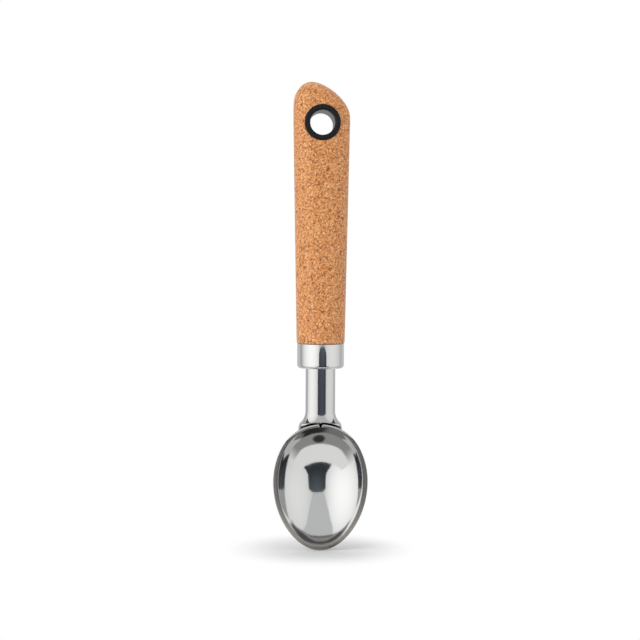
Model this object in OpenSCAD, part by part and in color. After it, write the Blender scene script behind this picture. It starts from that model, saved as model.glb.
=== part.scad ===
// Ice cream spoon with an egg-shaped steel bowl, a hollow pressed neck,
// a drawn steel ferrule and a cork composite grip with a hanging eyelet.
// The eyelet's centre is the origin, +Z runs up the grip and -Y is the open side of the bowl.

/* [Bowl] */
// Width of the bowl across the rim
bowl_w = 42.8; // [41.6:0.2:46]
// Length from the widest line up to the rim at the neck
crown_l = 25.9; // [24:0.1:28]
// Length from the widest line down to the tip
toe_l = 31.1; // [28:0.1:34]
// Radius of the rim at the neck end
crown_r = 20; // [18:0.2:20.4]
// Radius of the rim at the tip
toe_r = 12.4; // [11.6:0.2:15]
// Depth of the cavity below the rim
bowl_d = 9.8; // [8.8:0.1:11.4]
// Width of the ground rim at the bowl's sides
bowl_t = 2.4; // [2:0.1:2.8]
// Width of the ground rim at the neck end
crown_t = 1.4; // [1.2:0.1:1.8]
// Width of the ground rim at the tip
toe_t = 1.9; // [1.6:0.1:2.4]
// How far the rim's face lies in front of the grip's axis
rim_front = 4.6; // [4:0.1:5.5]
// Width of the locating notch in the rim
notch_w = 2.2; // [1.6:0.1:3]
// Depth of the locating notch below the top of the rim
notch_h = 1.9; // [1.4:0.1:2.4]

/* [Neck] */
// Length of the neck between the ferrule and the rim
neck_l = 24.9; // [20:0.1:34]
// Width of the neck
neck_w = 13.4; // [12:0.2:15]
// Depth of the neck from front to back
neck_d = 9.2; // [8.6:0.1:10.4]
// Thickness of the neck's sheet
neck_t = 1.1; // [0.8:0.1:1.4]
// Width of the flare at the top of the rim
flare_w = 18.8; // [17.6:0.2:20]
// Height of the flare above the rim
flare_h = 5.5; // [4.5:0.1:7]
// How much further the flare widens down to the bowl's shoulder, on each side
flare_more = 0.6; // [0.2:0.1:0.9]
// How far the front lip turns out
lip_out = 0.9; // [0.4:0.1:1.2]
// Gap between the front lip and the rim
lip_gap = 0.8; // [0.4:0.1:1.2]
// Length of the tongue that lies on the bowl's back, below the top of the rim
tongue_l = 11; // [10:0.5:12]
// How far the tongue's end stands out of the bowl's back
tongue_over = 0.4; // [0.2:0.1:0.6]

/* [Ferrule] */
// Outer diameter of the ferrule
ferrule_d = 21.1; // [20.5:0.1:22]
// Length of the ferrule
ferrule_l = 11.1; // [9:0.1:15]
// Thickness of the ferrule's sheet
ferrule_t = 0.8; // [0.6:0.1:1.2]
// Radius of the ferrule's drawn corner
ferrule_r = 1.5; // [1.3:0.1:2.5]

/* [Grip] */
// Distance from the eyelet's centre down to the grip's foot
eye_to_foot = 98.3; // [88:0.1:110]
// Distance from the eyelet's centre up to the grip's highest point
eye_to_peak = 18.7; // [18.4:0.1:22]
// How far the grip's foot stands out of the ferrule
foot_over = 0.3; // [0.1:0.1:0.6]
// Width of the grip at the eyelet
head_w = 25.4; // [24:0.2:28]
// Depth of the grip at the eyelet
head_d = 19; // [17:0.5:21]
// Radius of the high corner
peak_r = 8.1; // [7:0.1:8.6]
// Radius of the low corner
shoulder_r = 10.9; // [9:0.1:11.6]
// Radius of the sloping top between the two corners
brow_r = 25.2; // [22:0.2:40]
// How far the low corner's centre lies below the high one's
shoulder_drop = 8.2; // [7:0.1:9]
// Height of the rounding at the top, seen from the side
crown_h = 10; // [7:0.5:14]
// Radius of the rounded edge at the foot
foot_r = 0.8; // [0.4:0.1:1.2]

/* [Eyelet] */
// Diameter of the hanging hole
eyelet_bore = 11; // [9:0.5:11.6]
// Diameter of the eyelet's flanges
eyelet_d = 16; // [15.6:0.2:17.4]
// Thickness of each flange
flange_t = 1.8; // [1.5:0.1:2.2]
// How far each flange stands out of the cork at its top and bottom
flange_proud = 0.3; // [0.1:0.1:0.5]
// Wall of the eyelet's sleeve
sleeve_t = 1.3; // [1.2:0.1:1.6]
// Radius of the rounded mouth of the hanging hole
mouth_r = 0.7; // [0.3:0.1:1]

/* [Tang] */
// Diameter of the tang
tang_d = 6; // [5:0.5:7]
// Length of the tang inside the grip
tang_l = 70; // [50:1:76]
// Thickness of the anchor's disc
disc_t = 1.5; // [1.2:0.1:2]
// Depth of the anchor's boss inside the neck
boss_l = 6; // [4:0.5:8]

/* [Hidden] */
$fn = 96;
// Clearance of parts that are glued or pushed together
fit_gap = 0.05;
// Clearance of welded and pressed sheet
seam_gap = 0.03;
// How far a cut runs past the surface that it opens
past = 1;
// How far an arc stands out where it takes over from another
arc_cross = 0.004;
// Sides of a lofted ring
ring_sides = 48;
// Roundness of the grip's section: 2 is an ellipse, more is squarer
foot_power = 2;
head_power = 2.7;
// Roundness of the neck's section
neck_power = 2.15;
// Roundness of the grip's top, seen from the side
crown_power = 2.3;
// How fast the back of the neck sweeps away from its axis
sweep_power = 1.6;
// Height above the rim at which the neck's back starts to sweep away
sweep_h = 12;
// Height of the bowl's shoulder, where the flare is widest, below the top of the rim
shoulder_h = 2.6;
// Radius of the rounded edges of a flange and of the ferrule's mouth
flange_r = 0.5;
ferrule_lip_r = 0.3;
// Overlap of the eyelet's two sleeves
lap_l = 4;
// Grooves that key the tang to its glue
groove_count = 5;
groove_w = 2;
groove_t = 0.4;
// Free length of the tang's hole beyond its end
tang_end_gap = 2;
// Chamfer at the tang's top end
tang_chamfer = 0.8;
// Depth of the lip behind the rim's face
lip_depth = 2;
// Length of the neck's pointed tab
tab_l = 1.1;

foot_w = ferrule_d + 2 * foot_over;
foot_z = -eye_to_foot;
ferrule_z = foot_z - ferrule_l;
seat_z = ferrule_z + ferrule_t;
rim_z = ferrule_z - neck_l;
wide_z = rim_z - crown_l;
peak_z = eye_to_peak - peak_r;
shoulder_z = peak_z - shoulder_drop;
crown_z = eye_to_peak - crown_h;
disc_top_z = seat_z + disc_t;
rim_y = -rim_front;
ferrule_bore = ferrule_d - 2 * ferrule_t;
sleeve_r = eyelet_bore / 2 + sleeve_t;
face_y = head_d / 2 + flange_proud;
// Distance of the bowl's turning axis in front of the rim's face
cavity_w = bowl_w - 2 * bowl_t;
axis_out = (pow(cavity_w / 2, 2) - pow(bowl_d, 2)) / (2 * bowl_d);
// How far the back of the tongue's end lies behind the grip's axis
tongue_back = rim_y - axis_out + tongue_over
    + sqrt(pow(crown_r, 2) + pow(axis_out, 2) - pow(crown_r - tongue_l, 2));

function mix(a, b, share) = a + (b - a) * share;
function limit(v, low, high) = min(max(v, low), high);
function curved(v, power) = sign(v) * pow(abs(v), 2 / power);

// A ring of points at height z, between the given limits in x and y.
function ring(left, right, front, back, power, z) = [
    for (i = [0 : ring_sides - 1])
        let (turn = 360 * i / ring_sides)
        [
            (left + right) / 2 + (right - left) / 2 * curved(cos(turn), power),
            (front + back) / 2 + (back - front) / 2 * curved(sin(turn), power),
            z
        ]
];

// A solid through rings that are listed from the lowest to the highest.
module loft(rings) {
    n = len(rings[0]);
    top = (len(rings) - 1) * n;
    polyhedron(
        points = [for (r = rings) each r],
        faces = [
            [for (i = [0 : n - 1]) i],
            [for (i = [n - 1 : -1 : 0]) top + i],
            for (k = [0 : n : top - 1], i = [0 : n - 1])
                each [
                    [k + i, k + n + i, k + n + (i + 1) % n],
                    [k + i, k + n + (i + 1) % n, k + (i + 1) % n]
                ]
        ]
    );
}

// Half of an egg's outline, from one end arc and two side arcs that meet it smoothly.
// The end arc's centre lies on the axis, the side arc's centre lies on the widest line.
// The end arc stands out by a few microns, so that the two cross and don't just touch.
module egg_end(half_w, length, end_r, grow) {
    rise = length - end_r;
    side_x = (pow(rise, 2) - pow(half_w - end_r, 2)) / (2 * (half_w - end_r));
    side_r = side_x + half_w;
    meet = rise + (end_r + grow) * rise / (side_r - end_r);
    translate([0, rise])
        circle(end_r + grow + arc_cross);
    intersection() {
        translate([-side_x, 0])
            circle(side_r + grow);
        square([half_w + grow, meet]);
    }
}

// The right half of an egg's outline, grown by a distance. Y is 0 on the widest line.
// Its ends are given as [length, radius], measured in a plane at a distance from the turning axis.
module egg_half(half_w, crown, toe, out, grow) {
    intersection() {
        union() {
            egg_end(norm([half_w, out]), crown.x - crown.y + norm([crown.y, out]), norm([crown.y, out]), grow);
            mirror([0, 1])
                egg_end(norm([half_w, out]), toe.x - toe.y + norm([toe.y, out]), norm([toe.y, out]), grow);
        }
        translate([0, -2 * toe.x])
            square([2 * half_w + out, 4 * toe.x]);
    }
}

// A whole egg, turned about an axis in front of the rim, so that the rim's face cuts a shallow cup off it.
module egg(half_w, crown, toe, grow) {
    translate([0, rim_y - axis_out, wide_z])
        rotate([0, 0, -90])
            rotate_extrude()
                egg_half(half_w, crown, toe, axis_out, grow);
}

// The egg on which the bowl's outside is pressed.
module outer_egg(grow) {
    egg(bowl_w / 2, [crown_l, crown_r], [toe_l, toe_r], grow);
}

// The rim's outline, extruded forwards from a given depth behind the rim's face.
module egg_prism(grow, behind, forwards) {
    translate([0, rim_y + behind, wide_z])
        rotate([90, 0, 0])
            linear_extrude(behind + forwards)
                for (side = [0, 1])
                    mirror([side, 0])
                        egg_half(bowl_w / 2, [crown_l, crown_r], [toe_l, toe_r], 0, grow);
}

module bowl() {
    color("silver")
        difference() {
            outer_egg(0);
            // cavity, a little longer in proportion, so that the rim narrows at both ends
            egg(cavity_w / 2, [crown_l - crown_t, crown_r - bowl_t], [toe_l - toe_t, toe_r - bowl_t], 0);
            // all that lies in front of the rim's face
            translate([-bowl_w, rim_y - 2 * bowl_w, wide_z - 2 * toe_l])
                cube([2 * bowl_w, 2 * bowl_w, 4 * toe_l]);
            // notch that takes the neck's tab
            translate([0, rim_y - past, rim_z - notch_h])
                rotate([-90, 0, 0])
                    linear_extrude(past + bowl_t)
                        polygon([
                            [0, 0],
                            [-notch_w / 2, -notch_h],
                            [-notch_w / 2, -notch_h - past],
                            [notch_w / 2, -notch_h - past],
                            [notch_w / 2, -notch_h]
                        ]);
        }
}

// How far the neck has flared out at a height above the rim.
flare_grow = (flare_w - neck_w) / 2;
flare_r = (pow(flare_h, 2) + pow(flare_grow, 2)) / (2 * flare_grow);
function flare(h) = flare_r - sqrt(pow(flare_r, 2) - pow(limit(flare_h - h, 0, flare_h), 2));

// Half of the neck's width at a height above the rim.
function neck_half(h) =
    h >= 0 ? neck_w / 2 + flare(h)
    : h >= -shoulder_h ? flare_w / 2 - flare_more * h / shoulder_h
    : (flare_w / 2 + flare_more)
        * sqrt(1 - pow((h + shoulder_h) / (tongue_l - shoulder_h + past), 2));

// The neck's front and back at a height above the rim.
function neck_front(h) = -neck_d / 2 - lip_out * flare(h) / flare_grow;
function neck_back(h) =
    mix(neck_d / 2, tongue_back, pow(limit((sweep_h - h) / (sweep_h + tongue_l), 0, 1), sweep_power));

// A section of the neck, drawn in by a sheet's thickness.
function neck_ring(h, inset) =
    ring(
        inset - neck_half(h), neck_half(h) - inset,
        neck_front(h) + inset, neck_back(h) - inset,
        neck_power, rim_z + h
    );

// Heights of the sections, above the rim: tongue, flare, sweep and the straight part.
tongue_steps = 8;
flare_steps = 8;
neck_heights = [
    for (i = [0 : tongue_steps - 1]) -tongue_l * (1 - i / tongue_steps),
    for (i = [0 : flare_steps - 1]) flare_h * i / flare_steps,
    flare_h,
    mix(flare_h, sweep_h, 1 / 2),
    sweep_h,
    neck_l + ferrule_t
];

// The neck's section where it passes through the ferrule, grown by a distance.
module neck_section(grow) {
    polygon([for (p = neck_ring(neck_l, -grow)) [p.x, p.y]]);
}

module neck() {
    color("silver") {
        difference() {
            loft([for (h = neck_heights) neck_ring(h, 0)]);
            loft([
                for (i = [0 : len(neck_heights) - 1])
                    let (
                        h = neck_heights[i],
                        over = i == 0 ? -past : i == len(neck_heights) - 1 ? past : 0
                    )
                    [for (p = neck_ring(h, neck_t)) p + [0, 0, over]]
            ]);
            outer_egg(seam_gap);
            egg_prism(lip_gap, lip_depth, rim_front + neck_d);
        }
        // pointed tab in the middle of the lip
        translate([0, neck_front(0) + neck_t, rim_z + lip_gap + tab_l])
            rotate([90, 0, 0])
                linear_extrude(neck_t)
                    polygon([[0, -2 * tab_l], [tab_l / 2, 0], [-tab_l / 2, 0]]);
    }
}

// Disc inside the ferrule, with a boss that plugs the neck's mouth.
module anchor() {
    color("gray")
        difference() {
            union() {
                translate([0, 0, seat_z])
                    cylinder(d = ferrule_bore - 2 * (ferrule_r - ferrule_t) - 2 * fit_gap, h = disc_t);
                translate([0, 0, seat_z - boss_l])
                    linear_extrude(boss_l)
                        neck_section(-neck_t - seam_gap);
            }
            translate([0, 0, seat_z - boss_l - past])
                cylinder(d = tang_d + 2 * seam_gap, h = boss_l + disc_t + 2 * past);
        }
}

// Rod from the anchor into the grip.
module tang() {
    groove_pitch = (tang_l - groove_w) / (groove_count + 1);
    color("gray")
        difference() {
            union() {
                translate([0, 0, seat_z - boss_l])
                    cylinder(d = tang_d, h = boss_l + disc_t + tang_l - tang_chamfer);
                translate([0, 0, disc_top_z + tang_l - tang_chamfer])
                    cylinder(d1 = tang_d, d2 = tang_d - 2 * tang_chamfer, h = tang_chamfer);
            }
            for (i = [1 : groove_count])
                translate([0, 0, disc_top_z + i * groove_pitch])
                    difference() {
                        cylinder(d = tang_d + past, h = groove_w);
                        cylinder(d = tang_d - 2 * groove_t, h = groove_w);
                    }
        }
}

// Half section of a drawn cup with a rounded lower corner.
module cup_half(r, length, corner) {
    square([r - corner, length]);
    translate([0, corner])
        square([r, length - corner]);
    translate([r - corner, corner])
        circle(corner);
}

module ferrule() {
    color("silver")
        difference() {
            translate([0, 0, ferrule_z])
                rotate_extrude()
                    difference() {
                        intersection() {
                            cup_half(ferrule_d / 2, ferrule_l, ferrule_r);
                            union() {
                                square([ferrule_d / 2 - ferrule_lip_r, ferrule_l]);
                                square([ferrule_d / 2, ferrule_l - ferrule_lip_r]);
                                translate([ferrule_d / 2 - ferrule_lip_r, ferrule_l - ferrule_lip_r])
                                    circle(ferrule_lip_r);
                            }
                        }
                        translate([0, ferrule_t])
                            cup_half(ferrule_bore / 2, ferrule_l, ferrule_r - ferrule_t);
                    }
            translate([0, 0, ferrule_z - past])
                linear_extrude(ferrule_t + 2 * past)
                    neck_section(fit_gap);
        }
}

// The grip's half width and half depth, without the rounding of its top and foot.
function taper(z) = limit((z - foot_z) / eye_to_foot, 0, 1);
function grip_half_w(z) = mix(foot_w, head_w, taper(z)) / 2;
function grip_half_d(z) = mix(foot_w, head_d, taper(z)) / 2;

// Centres of the high and the low corner, and of the sloping top that touches both.
peak_x = peak_r - head_w / 2;
shoulder_x = head_w / 2 - shoulder_r;
corner_gap = norm([shoulder_x - peak_x, shoulder_drop]);
peak_reach = brow_r - peak_r;
shoulder_reach = brow_r - shoulder_r;
brow_along = (pow(corner_gap, 2) + pow(peak_reach, 2) - pow(shoulder_reach, 2)) / (2 * corner_gap);
brow_across = sqrt(pow(peak_reach, 2) - pow(brow_along, 2));
corner_dir = [shoulder_x - peak_x, -shoulder_drop] / corner_gap;
brow_x = peak_x + brow_along * corner_dir.x + brow_across * corner_dir.y;
brow_z = peak_z + brow_along * corner_dir.y - brow_across * corner_dir.x;
// Heights at which the sloping top meets the two corners
brow_high_z = brow_z + (peak_z - brow_z) * brow_r / peak_reach;
brow_low_z = brow_z + (shoulder_z - brow_z) * brow_r / shoulder_reach;

function arc_x(r, rise) = sqrt(max(pow(r, 2) - pow(rise, 2), 0));
function grip_left(z) = z <= peak_z ? -grip_half_w(z) : peak_x - arc_x(peak_r, z - peak_z);
function grip_right(z) =
    z <= shoulder_z ? grip_half_w(z)
    : z <= brow_low_z ? shoulder_x + arc_x(shoulder_r, z - shoulder_z)
    : z <= brow_high_z ? brow_x + arc_x(brow_r, z - brow_z)
    : peak_x + arc_x(peak_r, z - peak_z);
function grip_depth(z) =
    grip_half_d(z) * pow(1 - pow(limit((z - crown_z) / crown_h, 0, 1), crown_power), 1 / crown_power);

// How far the rounded foot draws in at a height.
function foot_inset(z) = foot_r - arc_x(foot_r, limit(foot_z + foot_r - z, 0, foot_r));

function grip_ring(z) =
    let (inset = foot_inset(z))
    ring(
        grip_left(z) + inset, grip_right(z) - inset,
        inset - grip_depth(z), grip_depth(z) - inset,
        mix(foot_power, head_power, taper(z)), z
    );

// Heights of the grip's sections: rounded foot, body and head.
foot_steps = 4;
body_steps = 7;
head_steps = 18;
grip_heights = [
    for (i = [0 : foot_steps - 1]) foot_z + foot_r * (1 - cos(90 * i / foot_steps)),
    for (i = [0 : body_steps - 1]) mix(foot_z + foot_r, shoulder_z, i / body_steps),
    for (i = [0 : head_steps - 1]) mix(shoulder_z, eye_to_peak, sin(90 * i / (head_steps - 1 / 4)))
];

module grip() {
    color("peru")
        difference() {
            union() {
                loft([for (z = grip_heights) grip_ring(z)]);
                // spigot inside the ferrule
                translate([0, 0, disc_top_z])
                    cylinder(d = ferrule_bore - 2 * fit_gap, h = foot_z + foot_r - disc_top_z);
            }
            translate([0, 0, disc_top_z - past])
                cylinder(d = tang_d + 2 * fit_gap, h = past + tang_l + tang_end_gap);
            rotate([90, 0, 0])
                cylinder(r = sleeve_r + fit_gap, h = head_d + 2 * past, center = true);
            for (side = [-1, 1])
                rotate([90 * side, 0, 0])
                    translate([0, 0, face_y - flange_t])
                        cylinder(d = eyelet_d + 2 * fit_gap, h = flange_t + past);
        }
}

// Half section of an eyelet's flange and sleeve. Y runs out of the grip, 0 in its middle.
module eyelet_half(bottom, inner, outer) {
    difference() {
        union() {
            translate([eyelet_bore / 2, face_y - flange_t])
                square([eyelet_d / 2 - eyelet_bore / 2, flange_t - flange_r]);
            translate([eyelet_bore / 2, face_y - flange_t])
                square([eyelet_d / 2 - eyelet_bore / 2 - flange_r, flange_t]);
            translate([eyelet_d / 2 - flange_r, face_y - flange_r])
                circle(flange_r);
            translate([eyelet_bore / 2, lap_l / 2])
                square([sleeve_t, face_y - lap_l / 2 - flange_t / 2]);
            translate([inner, bottom])
                square([outer - inner, lap_l / 2 - bottom + past]);
        }
        // rounded mouth
        difference() {
            translate([eyelet_bore / 2 - past, face_y - mouth_r])
                square([mouth_r + past, mouth_r + past]);
            translate([eyelet_bore / 2 + mouth_r, face_y - mouth_r])
                circle(mouth_r);
        }
    }
}

// Front half of the eyelet, whose thin end plugs into the back half.
module eyelet_front() {
    lap_r = eyelet_bore / 2 + sleeve_t / 2 - fit_gap / 2;
    color("black")
        rotate([90, 0, 0])
            rotate_extrude()
                eyelet_half(-lap_l / 2, eyelet_bore / 2, lap_r);
}

module eyelet_back() {
    lap_r = eyelet_bore / 2 + sleeve_t / 2 + fit_gap / 2;
    color("black")
        rotate([-90, 0, 0])
            rotate_extrude()
                eyelet_half(-lap_l / 2, lap_r, sleeve_r);
}

bowl();
neck();
anchor();
tang();
ferrule();
grip();
eyelet_front();
eyelet_back();
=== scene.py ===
import math

import bmesh
import bpy
from mathutils import Matrix, Vector


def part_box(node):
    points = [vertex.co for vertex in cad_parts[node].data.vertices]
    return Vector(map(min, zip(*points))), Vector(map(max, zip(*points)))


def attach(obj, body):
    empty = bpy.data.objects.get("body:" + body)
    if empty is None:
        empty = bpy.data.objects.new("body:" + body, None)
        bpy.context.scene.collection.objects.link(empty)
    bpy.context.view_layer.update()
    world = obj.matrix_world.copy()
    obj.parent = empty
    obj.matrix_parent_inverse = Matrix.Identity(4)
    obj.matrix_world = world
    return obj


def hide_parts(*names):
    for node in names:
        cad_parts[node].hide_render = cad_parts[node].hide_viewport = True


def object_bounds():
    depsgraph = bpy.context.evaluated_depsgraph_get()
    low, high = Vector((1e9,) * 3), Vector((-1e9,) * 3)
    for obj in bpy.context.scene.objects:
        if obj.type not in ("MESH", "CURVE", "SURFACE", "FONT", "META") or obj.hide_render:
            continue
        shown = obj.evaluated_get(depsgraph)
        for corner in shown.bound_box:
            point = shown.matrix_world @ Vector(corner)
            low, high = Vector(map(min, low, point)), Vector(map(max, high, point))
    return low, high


bl_info = {
    "name": "Cork Handled Ice Cream Spoon",
    "version": (1, 0, 0),
    "blender": (4, 5, 0),
    "location": "3D View > Sidebar > Spoon",
    "description": "Dresses a small ice cream spoon: polished steel bowl and neck, cork grip and eyelet",
    "category": "Object",
}

MM = 0.001

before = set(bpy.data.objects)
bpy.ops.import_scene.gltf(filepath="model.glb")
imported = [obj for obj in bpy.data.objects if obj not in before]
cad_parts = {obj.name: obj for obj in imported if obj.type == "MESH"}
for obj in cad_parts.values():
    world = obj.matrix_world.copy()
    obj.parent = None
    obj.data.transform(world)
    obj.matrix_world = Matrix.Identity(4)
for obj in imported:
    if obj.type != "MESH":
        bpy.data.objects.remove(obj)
CAD_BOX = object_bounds()
BOWL_LOW, BOWL_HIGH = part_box("bowl")
NECK_LOW, NECK_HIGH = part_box("neck")
TANG_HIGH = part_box("tang")[1]
FERRULE_LOW, FERRULE_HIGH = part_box("ferrule")
GRIP_LOW, GRIP_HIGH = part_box("grip")
EYELET_LOW, EYELET_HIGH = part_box("eyelet_front")

# Overrun of a cut beyond the surface that it opens, and of a piece that is cut to length.
PAST = 1 * MM
# Points closer than this are one.
WELD = 0.002 * MM
# Steps of a full turn on the lathe, and points round the bowl.
ROUND_STEPS = 192
BOWL_SIDES = 256
# Points round a squared tube, and how often it is then subdivided.
TUBE_SIDES = 48
SUBDIVISIONS = 2
# Widest angle between two faces that are shaded as one curve, and least angle of a corner to soften.
CREASE = math.radians(35)
CORNER = math.radians(25)
# Nearly all of a noise lies between these values.
NOISE_LOW, NOISE_HIGH = 0.3, 0.7
WHITE = (1, 1, 1, 1)


def linear(hex_colour):
    """Turns an sRGB hex colour into linear red, green and blue."""
    channels = [int(hex_colour[i:i + 2], 16) / 255 for i in (1, 3, 5)]
    return tuple(c / 12.92 if c <= 0.04045 else ((c + 0.055) / 1.055) ** 2.4 for c in channels)


def length(name, description, millimetres):
    """A length that the user can change, given in millimetres."""
    return bpy.props.FloatProperty(
        name=name, description=description, default=millimetres * MM, min=0, unit="LENGTH", precision=5)


def number(name, description, value):
    """A plain number that the user can change."""
    return bpy.props.FloatProperty(name=name, description=description, default=value)


def angle(name, description, degrees):
    """An angle that the user can change, given in degrees."""
    return bpy.props.FloatProperty(
        name=name, description=description, default=math.radians(degrees), unit="ROTATION")


def colour(name, description, hex_colour):
    """A colour that the user can change, given as sRGB hex."""
    return bpy.props.FloatVectorProperty(
        name=name, description=description, default=linear(hex_colour), min=0, max=1, subtype="COLOR")


class BowlSizes(bpy.types.PropertyGroup):
    """Sizes of the steel bowl."""
    crown_length: length("Crown length", "From the widest line up to the rim at the neck", 25.9)
    crown_radius: length("Crown radius", "Radius of the rim at the neck end", 20)
    toe_radius: length("Toe radius", "Radius of the rim at the tip", 12.4)
    depth: length("Depth", "Depth of the cavity below the rim", 9.35)
    rim: length("Rim", "Width of the ground rim at the bowl's sides", 2.4)
    crown_rim: length("Crown rim", "Width of the ground rim at the neck end", 1.4)
    toe_rim: length("Toe rim", "Width of the ground rim at the tip", 1.9)
    outer_edge: length("Outer edge", "Softening of the rim's outer edge", 0.25)
    crown_slope: length("Crown slope", "How far the rim's outer half is buffed back under the neck", 0.26)
    crown_slope_height: length("Crown slope height", "How far that slope runs down the rim", 7.5)
    inner_edge: length("Inner edge", "Softening of the rim's inner edge", 0.14)
    notch_width: length("Notch width", "Width of the locating notch in the rim", 2.2)
    notch_height: length("Notch height", "Depth of the locating notch below the top of the rim", 1.9)


class NeckSizes(bpy.types.PropertyGroup):
    """Sizes of the pressed neck."""
    length: length("Length", "Length of the neck between the ferrule and the rim", 24.9)
    width: length("Width", "Width of the neck above the flare", 13.4)
    depth: length("Depth", "Depth of the neck from front to back", 9.2)
    sheet: length("Sheet", "Thickness of the sheet", 1.1)
    flare_width: length("Flare width", "Width of the flare at the top of the rim", 18.8)
    flare_height: length("Flare height", "Height of the flare above the rim", 5.5)
    shoulder_width: length("Shoulder width", "Width of the flare on the bowl's shoulder", 20)
    shoulder_height: length("Shoulder height", "Height of that shoulder below the top of the rim", 2.6)
    lip_out: length("Lip out", "How far the front lip turns out", 0.9)
    lip_gap: length("Lip gap", "Gap between the front lip and the rim", 0.8)
    lip_depth: length("Lip depth", "Depth of that gap behind the rim's face", 2)
    sweep_height: length("Sweep height", "Height above the rim where the back sweeps away", 12)
    tongue_over: length("Tongue over", "How far the tongue's end stands out of the bowl's back", 0.4)
    tab_width: length("Tab width", "Width of the pointed tab on the lip", 1.1)
    squareness: number("Squareness", "Roundness of the section: 2 is an ellipse, more is squarer", 2.15)


class FerruleSizes(bpy.types.PropertyGroup):
    """Sizes of the drawn ferrule."""
    sheet: length("Sheet", "Thickness of the sheet", 0.8)
    corner: length("Corner", "Radius of the drawn corner", 1.5)
    lip: length("Lip", "Radius of the turned mouth", 0.3)


class GripSizes(bpy.types.PropertyGroup):
    """Sizes of the cork grip."""
    foot_width: length("Foot width", "Diameter of the grip at its foot", 21.7)
    foot_round: length("Foot rounding", "Radius of the rounded edge at the foot", 0.8)
    head_depth: length("Head depth", "Depth of the grip at the eyelet", 19)
    squareness: number("Squareness", "Roundness of the head's section: 2 is an ellipse", 2.7)
    peak_radius: length("Peak radius", "Radius of the high corner", 8.1)
    peak_height: length("Peak height", "Height over which the left side curves in to the high corner", 10.4)
    shoulder_radius: length("Shoulder radius", "Radius of the low corner", 10.9)
    shoulder_drop: length("Shoulder drop", "How far the low corner's centre lies below the high one's", 8.2)
    brow_radius: length("Brow radius", "Radius of the sloping top", 25.2)
    crown_height: length("Crown height", "Height of the rounding at the top, seen from the side", 10)
    crown_power: number("Crown power", "Roundness of that rounding: 2 is an ellipse", 2.3)
    fit: length("Fit", "Gap round the pieces that are glued into the cork", 0.05)


class EyeletSizes(bpy.types.PropertyGroup):
    """Sizes of the two moulded halves of the eyelet."""
    bore: length("Bore", "Diameter of the hanging hole", 11)
    sleeve: length("Sleeve", "Wall of the sleeve", 1.3)
    flange: length("Flange", "Thickness of each flange", 1.8)
    edge: length("Edge", "Radius of the flange's rounded edge", 0.5)
    mouth: length("Mouth", "Radius of the rounded mouth of the hole", 0.7)
    lap: length("Lap", "Overlap of the two sleeves", 4)
    fit: length("Fit", "Gap between the two sleeves", 0.05)


class Finishes(bpy.types.PropertyGroup):
    """Colours of the materials."""
    steel: colour("Polished steel", "Stainless steel, buffed bright", "#CFCFCE")
    ground_steel: colour("Ground steel", "Stainless steel as the grinding belt leaves it", "#B9B4AE")
    turned_steel: colour("Turned steel", "Plain steel from the lathe", "#B4B4B4")
    cork: colour("Cork", "Most of the cork granules", "#C97F40")
    cork_pale: colour("Pale cork", "The palest granules", "#EFBC84")
    cork_dark: colour("Dark cork", "The darkest granules", "#B0682F")
    bark: colour("Bark", "Specks of bark and the gaps between granules", "#783C17")
    plastic: colour("Plastic", "Black moulded plastic", "#0B0C10")


class StageSizes(bpy.types.PropertyGroup):
    """Where the camera stands and how it looks."""
    camera_side: length("Camera to the side", "How far left of the spoon the camera stands", 36)
    camera_back: length("Camera distance", "How far in front of the spoon the camera stands", 718.04)
    camera_drop: length("Camera height", "How far below the eyelet the camera stands", 62)
    lens: length("Lens", "Focal length of the camera", 90)
    pitch: angle("Pitch", "How far the camera looks down", 2.055)
    yaw: angle("Yaw", "How far the camera turns right", 2.844)
    roll: angle("Roll", "How far the camera leans", 0.293)


def option(name):
    """One of the spoon's groups of sizes or colours in this scene."""
    return getattr(bpy.context.scene, "spoon_" + name)


# Modelling by hand

def deselect():
    """Leaves edit mode with nothing selected."""
    if bpy.context.object and bpy.context.object.mode != "OBJECT":
        bpy.ops.object.mode_set(mode="OBJECT")
    bpy.ops.object.select_all(action="DESELECT")


def take(ob):
    """Selects one object alone."""
    deselect()
    bpy.context.view_layer.objects.active = ob
    ob.select_set(True)


def edit(ob):
    """Opens an object in edit mode."""
    take(ob)
    bpy.ops.object.mode_set(mode="EDIT")


def select(ob, kind, test):
    """In edit mode, selects the verts, edges or faces that pass a test, and returns how many."""
    bpy.ops.mesh.select_mode(type={"verts": "VERT", "edges": "EDGE", "faces": "FACE"}[kind])
    bpy.ops.mesh.select_all(action="DESELECT")
    form = bmesh.from_edit_mesh(ob.data)
    found = [part for part in getattr(form, kind) if test(part)]
    for part in found:
        part.select_set(True)
    form.select_flush_mode()
    bmesh.update_edit_mesh(ob.data)
    return len(found)


def select_whole():
    """In edit mode, selects the whole mesh."""
    bpy.ops.mesh.select_all(action="SELECT")


def turn_outwards():
    """In edit mode, turns all faces outwards."""
    select_whole()
    bpy.ops.mesh.normals_make_consistent()


def close_form():
    """In edit mode, welds the seams and poles and turns all faces outwards."""
    bpy.ops.mesh.select_mode(type="VERT")
    select_whole()
    bpy.ops.mesh.remove_doubles(threshold=WELD)
    turn_outwards()
    bpy.ops.object.mode_set(mode="OBJECT")


def apply(ob, kind, **settings):
    """Adds a modifier with its settings and applies it."""
    take(ob)
    modifier = ob.modifiers.new(kind.title(), kind)
    for name, value in settings.items():
        setattr(modifier, name, value)
    bpy.ops.object.modifier_apply(modifier=modifier.name)


def cut(ob, tool):
    """Cuts a tool's shape out of an object, and deletes the tool."""
    apply(ob, "BOOLEAN", object=tool, operation="DIFFERENCE", solver="EXACT")
    remove(tool)


def remove(ob):
    """Deletes a tool that has done its work."""
    take(ob)
    bpy.ops.object.delete()


def join(ob, other):
    """Makes another object part of this one."""
    take(ob)
    other.select_set(True)
    bpy.ops.object.join()


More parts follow.
